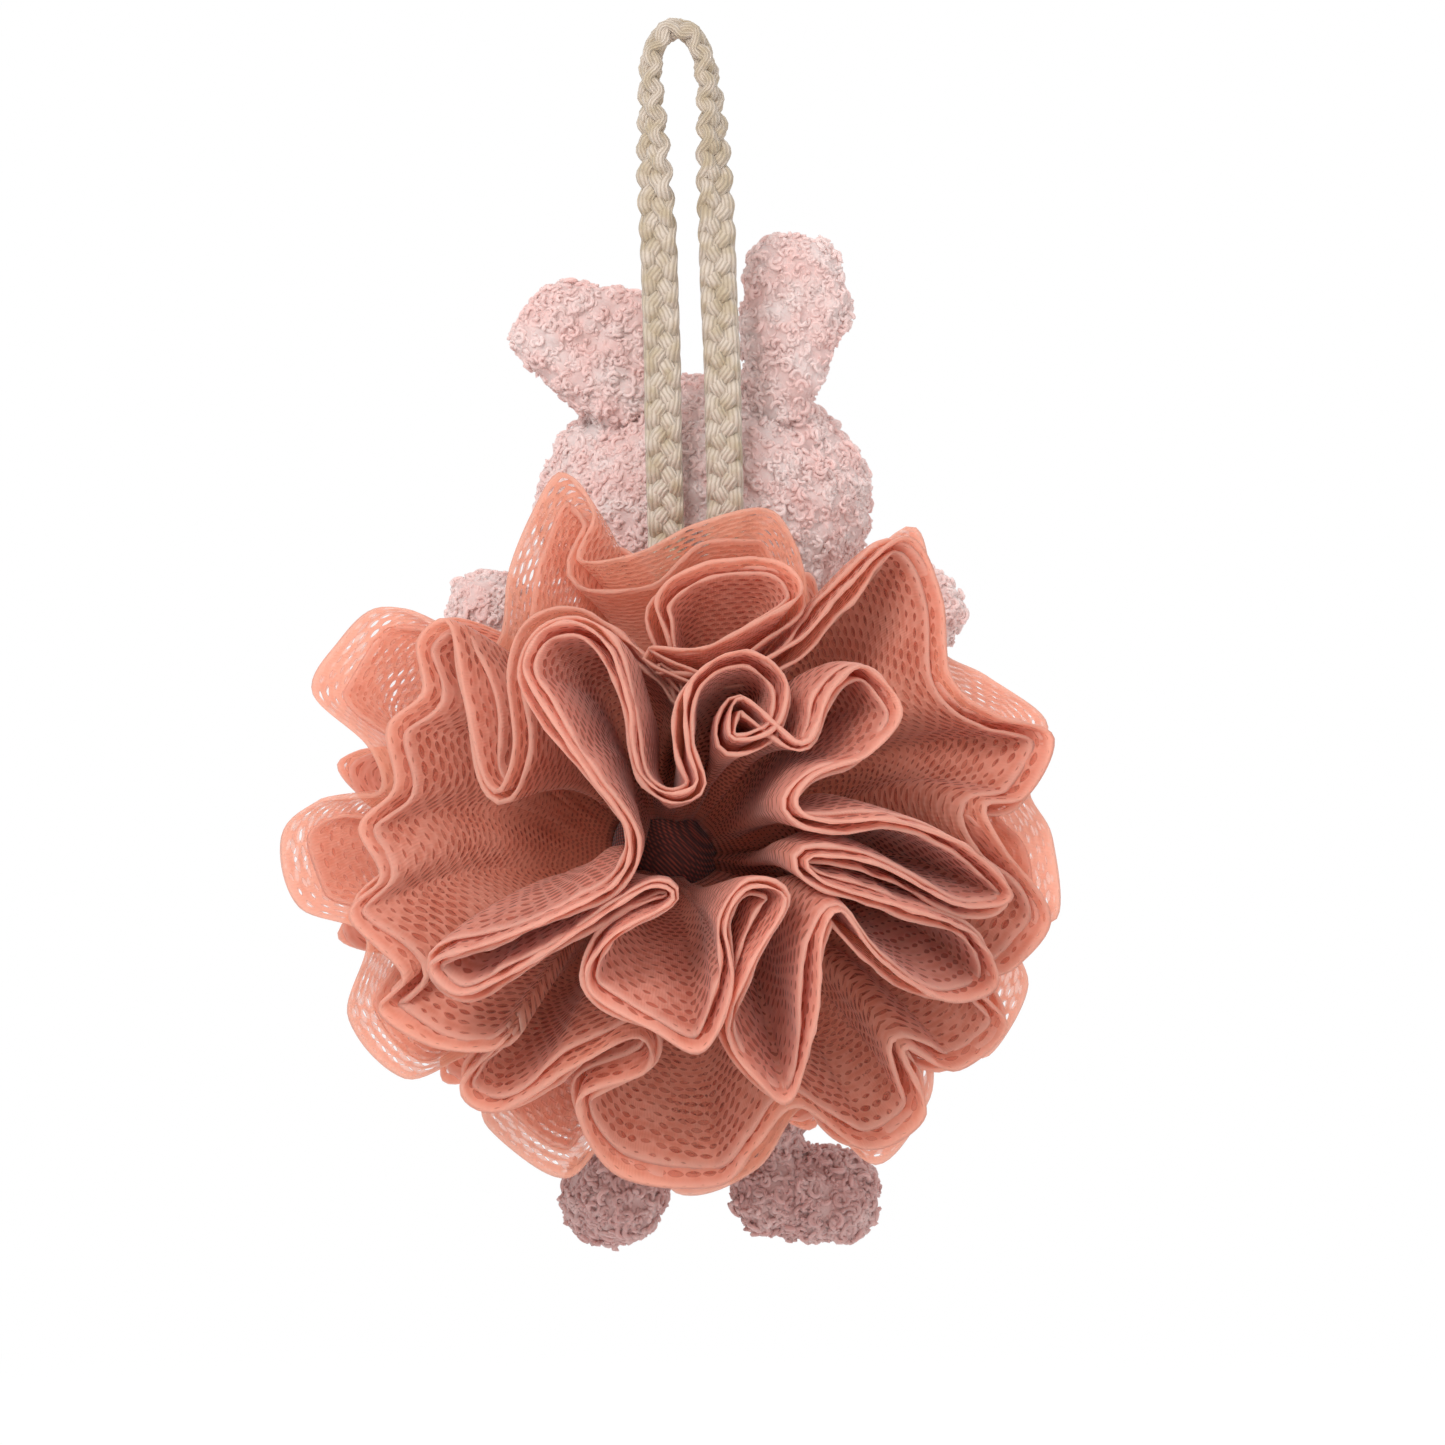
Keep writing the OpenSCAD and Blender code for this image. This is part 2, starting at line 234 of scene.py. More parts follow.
# %% World, floor and lamps
ROOM_LIGHT = 0.75
FLOOR_HALF = 3
FLOOR_CELLS = 8
FLOOR_DROP = 0.06
world = bpy.data.worlds.new("room")
world.use_nodes = True
bpy.context.scene.world = world
room = world.node_tree
backdrop = room.nodes["Background"]
rays = room.nodes.new("ShaderNodeLightPath")
seen = room.nodes.new("ShaderNodeMath")
seen.operation = "MAXIMUM"
room.links.new(rays.outputs["Is Camera Ray"], seen.inputs[0])
room.links.new(rays.outputs["Is Glossy Ray"], seen.inputs[1])
seen_too = room.nodes.new("ShaderNodeMath")
seen_too.operation = "MAXIMUM"
room.links.new(seen.outputs[0], seen_too.inputs[0])
room.links.new(rays.outputs["Is Transmission Ray"], seen_too.inputs[1])
level = room.nodes.new("ShaderNodeMapRange")
level.inputs["To Min"].default_value = ROOM_LIGHT
level.inputs["To Max"].default_value = 1.0
room.links.new(seen_too.outputs[0], level.inputs["Value"])
room.links.new(level.outputs[0], backdrop.inputs["Strength"])
backdrop.inputs["Color"].default_value = (1, 1, 1, 1)


def lamp(name, power, size, place, target):
    """A soft square lamp at place that shines on target."""
    data = bpy.data.lights.new(name, "AREA")
    data.energy = power
    data.size = size
    light = bpy.data.objects.new(name, data)
    light.location = place
    light.rotation_euler = (Vector(target) - Vector(place)).to_track_quat("-Z", "Y").to_euler()
    bpy.context.scene.collection.objects.link(light)


heart = middle("netting_hub")
lamp("key", 8.5, 0.5, (-0.45, -0.95, 0.55), heart)
lamp("fill", 2.2, 0.9, (0.8, -0.9, -0.1), heart)
lamp("glow", 4.0, 0.5, (0.25, 0.75, 0.45), heart)

white = Finish("pale_floor", Roughness=0.9, Base_Color=(0.9, 0.9, 0.9, 1))
lit = white.node("ShaderNodeEmission", {"Color": (1, 1, 1, 1)})
ray = white.node("ShaderNodeLightPath", output="Is Camera Ray")
away = white.node("ShaderNodeVectorMath", {0: white.object_place}, output="Value", operation="LENGTH")
share = ray * (away.step(0.15, 0.6) * 0.4 + 0.6)
cloth = Amount(white, white.shader.outputs[0])
floor_white = white.done(white.node("ShaderNodeMixShader", {0: share, 1: cloth, 2: lit}))

bm = bmesh.new()
bmesh.ops.create_grid(bm, x_segments=FLOOR_CELLS, y_segments=FLOOR_CELLS, size=FLOOR_HALF)
bmesh.ops.translate(bm, verts=bm.verts, vec=(0, 0, cad_box[0][2] - FLOOR_DROP))
floor_mesh = bpy.data.meshes.new("floor")
bm.to_mesh(floor_mesh)
bm.free()
floor = bpy.data.objects.new("floor", floor_mesh)
floor.data.materials.append(floor_white)
bpy.context.scene.collection.objects.link(floor)

# %% [markdown]
# ## Helpers for every piece
# Netting and cord are both long strips that follow a line, so one helper makes a flat grid and moves each
# of its corners to a place worked out from where it lies in the grid. The map that the finish reads is set
# while the grid is still flat.


# %% Strips, meshes and smooth lines
def strip(columns, rows, place, uv_name, uv_of):
    """A grid whose corner at (s, t), each from 0 to 1, is moved to place(s, t)."""
    bm = bmesh.new()
    layer = bm.loops.layers.uv.new(uv_name)
    bmesh.ops.create_grid(bm, x_segments=columns, y_segments=rows, size=0.5)
    for face in bm.faces:
        face.smooth = True
        for loop in face.loops:
            loop[layer].uv = uv_of(loop.vert.co.x + 0.5, loop.vert.co.y + 0.5)
    for vert in bm.verts:
        vert.co = place(vert.co.x + 0.5, vert.co.y + 0.5)
    return bm


def piece(name, bm, finish, body):
    """Makes an object of a bmesh and rides it on a body."""
    mesh = bpy.data.meshes.new(name)
    bm.to_mesh(mesh)
    bm.free()
    mesh.materials.append(finish)
    made = bpy.data.objects.new(name, mesh)
    bpy.context.scene.collection.objects.link(made)
    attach(made, body)
    return made


FINE_STEPS = 24


def curve_point(points, i, t, closed):
    """The point a share t of the way from point i to the next, on a smooth line through all points."""
    n = len(points)
    pick = (lambda k: points[k % n]) if closed else (lambda k: points[max(0, min(n - 1, k))])
    a, b, c, d = (pick(i + k) for k in (-1, 0, 1, 2))
    bend = (a * -1 + b * 3 - c * 3 + d) * t ** 3 + (a * 2 - b * 5 + c * 4 - d) * t ** 2
    return (bend + (c - a) * t + b * 2) / 2


def smooth_line(points, count, closed=False):
    """count points, evenly spaced, on a smooth line through the given points, and the line's length."""
    spans = len(points) if closed else len(points) - 1
    fine = [curve_point(points, i, k / FINE_STEPS, closed) for i in range(spans) for k in range(FINE_STEPS)]
    fine.append(points[0].copy() if closed else points[-1].copy())
    reach = [0]
    for a, b in zip(fine, fine[1:]):
        reach.append(reach[-1] + (b - a).length)
    line, k = [], 0
    steps = count if closed else count - 1
    for j in range(count):
        goal = reach[-1] * j / steps
        while k < len(reach) - 2 and reach[k + 1] < goal:
            k += 1
        gap = reach[k + 1] - reach[k]
        line.append(fine[k].lerp(fine[k + 1], (goal - reach[k]) / gap if gap else 0))
    return line, reach[-1]


# %% [markdown]
# ## The hanging cord
# The loop is a flat braid of five plump cotton strands. Each strand swings from edge to edge of the braid
# and, four times as fast, from front to back, which makes it pass over one neighbour and under the next.
# Modelling the strands gives true shadows between them, where a bump map would look flat. The braid shows
# its broad face down both sides and turns edge on over the top.

# %% The cord's line
ROUTE = [
    (0.2, -11.4, -144.9), (0.1, -11, -138), (-0.7, -8.6, -127), (-1.5, -6.4, -116), (-2, -5.2, -106),
    (-2.4, -5, -93), (-2.8, -5, -78), (-3, -5, -64), (-3.4, -5, -52), (-3.8, -5, -40),
    (-4.5, -5, -28), (-5, -5, -17), (-5.3, -5, -10), (-5.3, -5, -5), (-4.4, -5, -1.2),
    (-2.6, -5, 1.3), (0, -5, 2.4), (2.6, -5, 1.3), (4.5, -5, -1.4), (5.6, -5, -5),
    (6.4, -5, -10), (7, -5, -17), (7.5, -5, -28), (8, -5, -40), (8.4, -5, -52),
    (9, -5, -64), (9.3, -5, -78), (9.6, -5, -93), (9, -4.8, -106), (7, -4.6, -116),
    (3.4, -5, -127), (0.6, -6, -138), (0.2, -6.4, -144.9),
]
CORD_WIDTH = 7.6 * MM
CORD_STEPS = 420
TWIST_LENGTH = 56 * MM
cord_line, cord_length = smooth_line([at(*p) for p in ROUTE], CORD_STEPS + 1)
cord_top = max(range(CORD_STEPS), key=lambda i: cord_line[i].z)
print("cord", round(cord_length, 4), "m long, top at step", cord_top)


def cord_sides(i):
    """The directions across the braid's width and through its thickness at a step."""
    ahead = (cord_line[min(i + 1, CORD_STEPS)] - cord_line[max(i - 1, 0)]).normalized()
    side = ahead.cross(Vector((0, 1, 0))).normalized()
    back = side.cross(ahead)
    gone = abs(i - cord_top) / CORD_STEPS * cord_length
    near_top = max(0, 1 - gone / TWIST_LENGTH)
    turn = math.radians(90) * near_top ** 2 * (3 - 2 * near_top)
    across = side * math.cos(turn) + back * math.sin(turn)
    return across, back * math.cos(turn) - side * math.sin(turn)


# %% Five strands
STRANDS = 5
STRAND_WIDTH = 3.3 * MM
STRAND_THICK = 2.2 * MM
SWING = (CORD_WIDTH - STRAND_WIDTH) / 2
LIFT = 1.2 * MM
BRAID_PITCH = 27 * MM
RING = 10
cord_frames = [cord_sides(i) for i in range(CORD_STEPS + 1)]


def strand_centre(i, phase):
    """Where a strand's middle lies at a step. The small third wave keeps it longer at the braid's edges."""
    i = max(0, min(CORD_STEPS, i))
    turn = 2 * math.pi * (i / CORD_STEPS * cord_length / BRAID_PITCH + phase)
    across, through = cord_frames[i]
    swing = 1.08 * math.sin(turn) + 0.1 * math.sin(3 * turn)
    return cord_line[i] + across * SWING * swing + through * LIFT * math.sin(4 * turn)


def strand_surface(s, t, phase):
    """The strand's skin a share s along the braid and t round the strand."""
    i = round(s * CORD_STEPS)
    ahead = (strand_centre(i + 1, phase) - strand_centre(i - 1, phase)).normalized()
    through = cord_frames[i][1]
    wide = ahead.cross(through).normalized()
    thick = wide.cross(ahead)
    a = 2 * math.pi * t
    skin = wide * math.cos(a) * STRAND_WIDTH / 2 + thick * math.sin(a) * STRAND_THICK / 2
    return strand_centre(i, phase) + skin


# %% The yarn finish
def yarn_finish(name, pale, dark):
    """Spun cotton: fine plies that run along a strand, with a little colour of their own."""
    yarn = Finish(name, Roughness=0.92, Sheen_Weight=0.25)
    round_it, along = yarn.uv("yarn")
    wander = yarn.noise(2 * MM, 2)
    plies = (round_it * 60 + along * 900 + wander * 5).sine()
    fluff = yarn.noise(0.35 * MM, 4)
    tint = yarn.noise(4 * MM, 2)
    base = yarn.blend(tint.step(0.35, 0.7), paint(pale), paint(dark))
    # Painted shade: the grooves between the plies, where the bump sinks, are painted towards a dark brown.
    shade = (plies * 0.5 + 0.5).step(0, 0.45)
    yarn.set(Base_Color=yarn.blend(shade * 0.6 + 0.4, paint("9a8672"), base))
    yarn.bump(plies * 0.5 + fluff, 0.25 * MM, 0.8)
    return yarn.done()


cotton = yarn_finish("oatmeal_cotton", "cfc0b1", "b8a68b")
braid = bmesh.new()
for k in range(STRANDS):
    skin = strip(
        CORD_STEPS, RING, lambda s, t: strand_surface(s, t, k / STRANDS),
        "yarn", lambda s, t: (t, s * cord_length),
    )
    bmesh.ops.remove_doubles(skin, verts=skin.verts, dist=0.01 * MM)
    bmesh.ops.holes_fill(skin, edges=skin.edges)
    bmesh.ops.recalc_face_normals(skin, faces=skin.faces)
    part = bpy.data.meshes.new("strand")
    skin.to_mesh(part)
    skin.free()
    braid.from_mesh(part)
    bpy.data.meshes.remove(part)
print("braid", len(braid.faces), "faces")
hang_braid = piece("hang_braid", braid, cotton, "puff_and_trunk")
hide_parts("hang_cord")

# %% [markdown]
# ## The netting's finish
# The netting is knitted nylon. Its cells are small lenses in staggered rows that run along the lip of each
# fold, and its threads are a dusty coral. Light and shade are painted into that colour: a lit tone with a
# pale painted highlight along each lip, a redder painted shade further into each fold, and a dark painted
# shade in the holes and round them. The holes are cut by mixing in a clear shader, and a share of light
# passes through the threads themselves, which is what makes the outer folds glow.

# %% Knitted netting
CELL_LONG = 3.7 * MM
CELL_HIGH = 1.15 * MM
THREAD_TWIST = 0.75 * MM
SWAY = 4
DRIFT = 3
LIP_HIGHLIGHT = "f6cdbb"
PATCH_COLOUR = "cf8870"
GLOW_COLOUR = "f6a886"
GLOW_SHARE = 0.42


def netting_finish(name, lip, deep, hole_shade, reach, sheer, clear_share):
    """lip is the lit colour of a fold's lip, the next colour is the painted shade far into the fold, and the
    last is a painted shade in its holes. The colour is the painted shade once it is reach from the lip. sheer
    is how clear the threads are and clear_share how clear the holes."""
    net = Finish(name, Roughness=0.6, Sheen_Weight=0.3, Specular_IOR_Level=0.25)
    along, down = net.uv("weave")
    sway = net.noise(11 * MM, 2) - 0.5
    drift = net.noise(17 * MM, 1) - 0.5
    along = along + sway * SWAY * MM
    down_rows = down + drift * DRIFT * MM
    row = (down_rows / CELL_HIGH).floor()
    odd = (row * 0.5).part()
    across = abs((along / CELL_LONG + odd).part() - 0.5) * 2
    over = abs((down_rows / CELL_HIGH).part() - 0.5) * 2
    lens_shape = across ** 2 + (over * 1.45) ** 1.3
    drawn = net.noise(12 * MM, 2).step(0.36, 0.6)
    off_lip = abs(down).step(0.3 * MM, 1.5 * MM)
    size = (drawn * 0.56 + 0.2) * off_lip
    thread = (lens_shape - size).step(-0.1, 0.1)
    # Painted light and shade: the colour runs from the lit lip colour to a painted shade further into the
    # fold.
    low = abs(down).step(2 * MM, reach)
    patch = net.noise(24 * MM, 2).step(0.3, 0.75)
    body = net.blend(low, paint(lip), paint(deep))
    tone = net.blend(patch * 0.25, body, paint(PATCH_COLOUR))
    # Painted highlight: a pale line along each lip, where the fold's round edge faces the light.
    lip_highlight_mask = 1 - abs(down).step(0.2 * MM, 1.1 * MM)
    tone = net.blend(lip_highlight_mask * 0.45, tone, paint(LIP_HIGHLIGHT))
    rows = (down_rows * (2 * math.pi / CELL_HIGH) + 1.57).sine()
    strands = (along * (2 * math.pi / THREAD_TWIST) + down_rows * 1500).sine()
    moire = net.noise(3.2 * MM, 2).step(0.4, 0.62)
    dark = (rows * 0.5 + 0.5) * (0.2 + moire * 0.4) * off_lip
    tone = net.blend(dark, tone, paint(deep))
    # Painted shade: the holes and the thread edges round them are painted towards a dark colour, for the
    # depth seen through them.
    hole_shade_mask = (1 - (lens_shape - size).step(-0.05, 0.35)) * off_lip
    net.set(Base_Color=net.blend(hole_shade_mask * 0.6, tone, paint(hole_shade)))
    net.bump(thread * 0.8 - rows * 0.25 + strands * 0.15, 0.28 * MM, 0.6)
    clear = net.node("ShaderNodeBsdfTransparent")
    cover = thread * (clear_share - sheer) + (1 - clear_share)
    through = net.node("ShaderNodeBsdfTranslucent", {"Color": paint(GLOW_COLOUR)})
    skin = Amount(net, net.shader.outputs[0])
    solid = net.node("ShaderNodeMixShader", {0: GLOW_SHARE, 1: skin, 2: through})
    return net.done(net.node("ShaderNodeMixShader", {0: cover, 1: clear, 2: solid}))


# %% [markdown]
# ## The ruffles
# Each ruffle is one long tube of netting, pressed flat, gathered at the hub, with its folded edge as the
# lip. The lip winds in and out in deep bends. So a ruffle is made from its lip: a few points for each
# bend, placed in millimetres as they are seen from the front, a smooth line through them, and a
# surface that runs from every point of that line down to the hub. The two layers part a little, meet in a
# round edge at the lip and close again at the hub.

# %% A ruffle from its lip
HUB_FRONT = -22 * MM
hub_low, hub_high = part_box("core_tie")
HUB = Vector(((hub_low[0] + hub_high[0]) / 2, HUB_FRONT, (hub_low[2] + hub_high[2]) / 2))
SLUMP = HUB + at(20, 30, 85)
WELL = HUB + at(10, 0, 1)
PUFF_W = 77
PUFF_H = 69
ROOT_R = 10
WELL_ROOM = 14
WELL_FADE = 18
RIPPLE = 1.2
CREASE = 0.5
NECK_SHARE = 0.5
WALL_SHARE = 0.3
CLOSING = 4
ROWS = 22
ROW_CROWDING = 1.6
ROUGH_STEPS = 50
DOUBLE = 0.004


def dome(x, z, depth):
    """How far in front of the hub's plane a puff of that depth reaches at x and z, in millimetres."""
    across = (x - HUB.x / MM) / PUFF_W
    up = (z - HUB.z / MM) / PUFF_H
    return depth * math.sqrt(max(0.03, 1 - across ** 2 - up ** 2))


def ruffle_form(lip, gather, part, shift, drop, lean, seed):
    """Returns the function that places a ruffle's corners, and the sheet's mean depth from lip to hub.

    gather is the share of the lip over which its bends are evened out on the way to the hub, and part is
    the gap between the layers. shift and drop set a copy beside and inside the first fold. lean is how far
    the sheet bulges up and back behind its lip, so that a fold which flops forward shows its broad face.
    """
    count = len(lip)
    window = max(3, int(count * gather))
    offset = []
    for i in range(count):
        ahead = lip[(i + 2) % count] - lip[i - 2]
        wide = Vector((ahead.z, 0, -ahead.x)).normalized()
        vary = 0.65 + 0.7 * noise.noise(lip[i] * 60 + Vector((seed, 0, 0)))
        inward = (HUB - lip[i]).normalized()
        offset.append(lip[i] + wide * shift * vary + inward * drop)
    sums = [Vector()]
    for i in range(count * 3):
        sums.append(sums[-1] + offset[i % count])
    mean = [(sums[count + i + window] - sums[count + i - window]) / (2 * window) for i in range(count)]
    depths = [(j / ROWS) ** ROW_CROWDING for j in range(ROWS + 1)]
    layers = []
    for j, low in enumerate(depths):
        f = 1 - low
        row = []
        for i in range(count):
            root = HUB + (mean[i] - HUB).normalized() * ROOT_R * MM
            near = HUB.lerp(mean[i], NECK_SHARE)
            out = offset[i] - HUB
            from_well = Vector((lip[i].x - WELL.x, 0, lip[i].z - WELL.z)).length / MM
            clear = min(1, max(0, (from_well - WELL_ROOM) / WELL_FADE))
            rise = (SLUMP - offset[i]).normalized() * lean * clear * (0.75 + 0.5 * noise.noise(lip[i] * 35))
            wall = offset[i] - out * WALL_SHARE + rise
            g = 1 - f
            spot = root * g ** 3 + near * 3 * g ** 2 * f + wall * 3 * g * f ** 2 + offset[i] * f ** 3
            ripple = noise.noise(spot * 45 + Vector((0, seed, 0)))
            row.append(spot + out.normalized() * ripple * RIPPLE * MM * f)
        layers.append(row)

    def place(s, t):
        i = round(s * count) % count
        j = abs(round(t * 2 * ROWS) - ROWS)
        side = 1 if t > 0.5 else -1
        along = layers[j][(i + 1) % count] - layers[j][i - 1]
        down = layers[min(j + 1, ROWS)][i] - layers[max(j - 1, 0)][i]
        normal = along.cross(down)
        normal = normal.normalized() if normal.length > 1e-12 else Vector((0, 0, 1))
        spot = layers[j][i]
        fallen = (layers[0][i] - spot).length
        gap = part * (0.6 + 0.9 * abs(noise.noise(lip[i] * 40 + Vector((0, 0, seed)))))
        rounding = math.sqrt(max(0, 1 - (1 - min(1, fallen / gap)) ** 2))
        crease = noise.noise(Vector((i * 0.35 + seed, depths[j] * 3, side * 5))) * CREASE * MM
        narrow = min(1, (1 - depths[j]) * CLOSING)
        return spot + normal * (side * gap / 2 + crease) * rounding * narrow

    tried = range(0, count, 10)
    height = sum((layers[0][i] - layers[ROWS][i]).length for i in tried) / len(tried)
    return place, height


def lip_point(x, z, depth, back):
    """A point of a lip that is seen at x and z, on a puff of that depth, moved back by a little."""
    spot = at(x, HUB.y / MM - dome(x, z, depth) + back, z)
    nearer = (spot.y - camera.location.y) / VIEW_DISTANCE
    seen = VIEW_CENTRE + (spot - VIEW_CENTRE) * nearer
    return Vector((seen.x, spot.y, seen.z))


def ruffle(name, bends, depth, finish, gather, part, lean, seed, copies, spacing=1.5):
    """Makes a ruffle and the copies of its folded edge that nest beside it."""
    line = [lip_point(x, z, depth, back) for x, z, back in bends]
    length = smooth_line(line, ROUGH_STEPS, closed=True)[1]
    count = int(length / (spacing * MM))
    lip, length = smooth_line(line, count, closed=True)
    for k, (shift, drop) in enumerate(copies):
        place, height = ruffle_form(lip, gather, part * MM, shift * MM, drop * MM, lean * MM, seed + 7 * k)
        bm = strip(
            count, 2 * ROWS, place, "weave",
            lambda s, t: (s * length, math.copysign(abs(2 * t - 1) ** ROW_CROWDING, t - 0.5) * height),
        )
        bmesh.ops.remove_doubles(bm, verts=bm.verts, dist=DOUBLE * MM)
        area = sum(face.calc_area() for face in bm.faces) / 2
        fold = piece(f"{name}_{k + 1}", bm, finish, "puff_and_trunk")
        round(area / height, 3)
        print(fold.name, "lip", round(length, 3), "m, height", round(height, 3), "m")
        print(fold.name, len(fold.data.polygons), "faces")
    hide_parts(name + "_ruffle")


# %% The ruffle round the well
# Painted light and shade: each ruffle has its own copy of the netting's colours, darkest for the ruffle round
# the well and palest for the outer one.
front_net = netting_finish("netting_front", "efaf9b", "c46a4f", "a04a35", 42 * MM, 0.05, 0.5)
FRONT_BENDS = [
    (-50, -186, 3), (-36, -181, 1), (-22, -175, 0), (-12, -169, 3), (-10, -159, 3), (-19, -146, 0),
    (-27, -134, 0), (-31, -126, 0), (-28, -119, 0), (-21, -117, 0), (-14, -122, 1), (-10, -133, 2),
    (-8, -146, 5), (-2, -151, 6), (4, -149, 5), (2, -141, 3), (2, -131, 2), (7, -125, 1),
    (15, -123, 2), (22, -129, 4), (20, -138, 5), (11, -140, 6), (13, -132, 6), (26, -141, 3),
    (31, -131, 1), (38, -126, 0), (45, -135, 0), (38, -144, 1), (29, -147, 2), (24, -153, 4),
    (30, -157, 3), (44, -157, 1), (58, -162, 0), (67, -172, 1), (57, -174, 1), (41, -166, 2),
    (27, -164, 5), (29, -169, 4), (44, -174, 1), (60, -180, 1), (64, -190, 2), (54, -193, 1),
    (41, -185, 0), (33, -175, 2), (29, -181, 1), (28, -197, 0), (23, -213, 1), (16, -209, 0),
    (10, -199, 2), (15, -186, 0), (22, -173, 3), (15, -170, 4), (10, -177, 2), (11, -190, 0),
    (5, -203, 0), (-5, -199, 0), (-18, -191, 2), (-14, -181, 1), (-1, -173, 3), (-5, -170, 4),
    (-18, -178, 1), (-32, -187, 2), (-44, -192, 3),
]
ruffle("netting_inner", FRONT_BENDS, 53, front_net, gather=0.06, part=1.0, lean=24, seed=3.0,
       copies=((0, 0), (2.2, 1.6), (-2.4, 3.0)))

# %% The middle ruffle
middle_net = netting_finish("netting_middle", "f1b29c", "cd775c", "a9543d", 46 * MM, 0.12, 0.65)
MIDDLE_BENDS = [
    (-38, -203, 0), (-50, -202, 0), (-60, -195, 0), (-55, -188, 3), (-66, -176, 0), (-60, -168, 4),
    (-64, -158, 1), (-57, -150, 4), (-58, -138, 0), (-51, -131, 3), (-52, -121, 0), (-46, -117, 1),
    (-43, -130, 2), (-40, -146, 4), (-36, -151, 5), (-33, -142, 3), (-34, -126, 0), (-29, -116, 0),
    (-18, -115, 2), (-4, -126, 6), (1, -131, 8), (-2, -120, 3), (-4, -111, 0), (6, -105, -2),
    (20, -104, -2), (25, -111, -3), (14, -118, -4), (4, -122, -3), (-6, -122, 0), (8, -127, 0),
    (24, -121, 0), (34, -110, 0), (46, -100, 2), (53, -112, 3), (55, -128, 3), (64, -136, 2),
    (75, -140, 2), (70, -152, 3), (62, -154, 5), (66, -162, 2), (75, -176, 3), (68, -186, 3),
    (60, -190, 4), (66, -198, 2), (56, -207, 2), (46, -203, 4), (50, -216, 1), (38, -223, 2),
    (24, -214, 3), (16, -222, 2), (8, -230, 2), (-12, -228, 2), (-20, -214, 3), (-6, -207, 2),
    (-8, -200, 3), (-20, -206, 1), (-36, -216, 1), (-44, -211, 2), (-34, -200, 3),
]
ruffle("netting_middle", MIDDLE_BENDS, 36, middle_net, gather=0.045, part=1.1, lean=18, seed=11.0,
       copies=((0, 0), (2.6, 2.0), (-3.0, 4.0)))

# %% The outer ruffle
outer_net = netting_finish("netting_outer", "f3b8a0", "dc8e72", "c0705a", 50 * MM, 0.28, 0.95)
OUTER_BENDS = [
    (-79, -160, 0), (-72, -153, 2), (-60, -151, 4), (-62, -142, 2), (-73, -131, 0), (-68, -120, 0),
    (-60, -114, 2), (-50, -117, 3), (-44, -128, 6), (-36, -120, 3), (-34, -106, 0), (-29, -95, 2),
    (-23, -87, 4), (-17, -95, 2), (-20, -104, 0), (-8, -103, -4), (4, -97, -4), (18, -94, -3),
    (24, -102, 0), (28, -115, 4), (36, -108, 2), (47, -98, 2), (51, -108, 3), (52, -122, 5),
    (62, -128, 2), (74, -137, 2), (70, -150, 4), (75, -160, 2), (76, -176, 2), (66, -178, 5),
    (70, -190, 2), (62, -204, 2), (52, -200, 5), (50, -212, 3), (40, -226, 2), (26, -214, 5),
    (16, -226, 2), (0, -231, 2), (-10, -216, 5), (-22, -228, 2), (-38, -218, 2), (-40, -204, 5),
    (-54, -208, 2), (-66, -196, 2), (-62, -180, 5), (-76, -174, 2),
]
ruffle("netting_outer", OUTER_BENDS, 15, outer_net, gather=0.045, part=1.3, lean=14, seed=23.0,
       copies=((0, 0), (4.0, 3.0)))

# %% The ruffle behind
back_net = netting_finish("netting_behind", "f1b29c", "cd775c", "a9543d", 46 * MM, 0.06, 0.7)
BACK_W = 74
BACK_H = 66
BACK_WAVE = (0.93, 0.78, 0.55, 0.76)
BACK_POINTS = 11 * len(BACK_WAVE)
back_bends = []
for k in range(BACK_POINTS):
    turn = 2 * math.pi * k / BACK_POINTS
    wave = BACK_WAVE[k % len(BACK_WAVE)]
    bend_x = HUB.x / MM + BACK_W * wave * math.cos(turn)
    bend_z = HUB.z / MM + BACK_H * wave * math.sin(turn)
    over_head = max(0, math.sin(turn)) ** 6
    back_bends.append((bend_x, bend_z, 24 + 5 * math.sin(k * 1.7) + 4 * (k % 2) - 20 * over_head))
ruffle("netting_back", back_bends, 8, back_net, gather=0.04, part=1.6, lean=4, seed=31.0,
       copies=((0, 0), (3.4, 4.0), (-3.4, 9.0)))

# %% [markdown]
# ## The gathered hub and the ties
# At the hub the netting is drawn so tight that it reads as dark red cords of thread, and its very dark red
# is partly painted shade, for the hub lies deep in the middle of the puff. The hub, the tie and the tape
# are only seen from behind and below, so their solids from the frame are kept and given a woven
# finish. The knot is made anew, from the same cotton as the braid.


# %% Hub, tie and tape
def woven_finish(name, pale, dark, pitch):
    """Plain weave on an object's own coordinates."""
    tape = Finish(name, Roughness=0.8, Sheen_Weight=0.2)
    split = tape.node("ShaderNodeSeparateXYZ", {0: tape.object_place})
    x, y, z = (Amount(tape, split.socket.node.outputs[k]) for k in range(3))
    warp = ((x + z) * (2 * math.pi / pitch)).sine()
    weft = ((y + z * 0.3) * (2 * math.pi / pitch)).sine()
    weave = warp * weft
    dust = tape.noise(3 * MM, 3)
    # Painted shade: the low spots of the weave, where the bump sinks, are painted towards the dark colour;
    # the dust noise adds random tone.
    tape.set(Base_Color=tape.blend((weave * 0.5 + dust * 0.5).step(0.1, 0.8), paint(dark), paint(pale)))
    tape.bump(weave, 0.15 * MM, 0.7)
    return tape.done()


def refinish(node, material):
    """Gives a node of the frame a better material."""
    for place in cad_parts[node].material_slots:
        place.material = material


# Painted shade: the hub's very dark reds stand partly for the shade deep in the middle of the puff.
refinish("netting_hub", woven_finish("gathered_netting", "8a3424", "3c0c06", 1.1 * MM))
refinish("core_tie", woven_finish("tie_thread", "efe9df", "cfc5b5", 0.8 * MM))
refinish("back_tape", woven_finish("cotton_tape", "efe9df", "d2c8b8", 0.7 * MM))

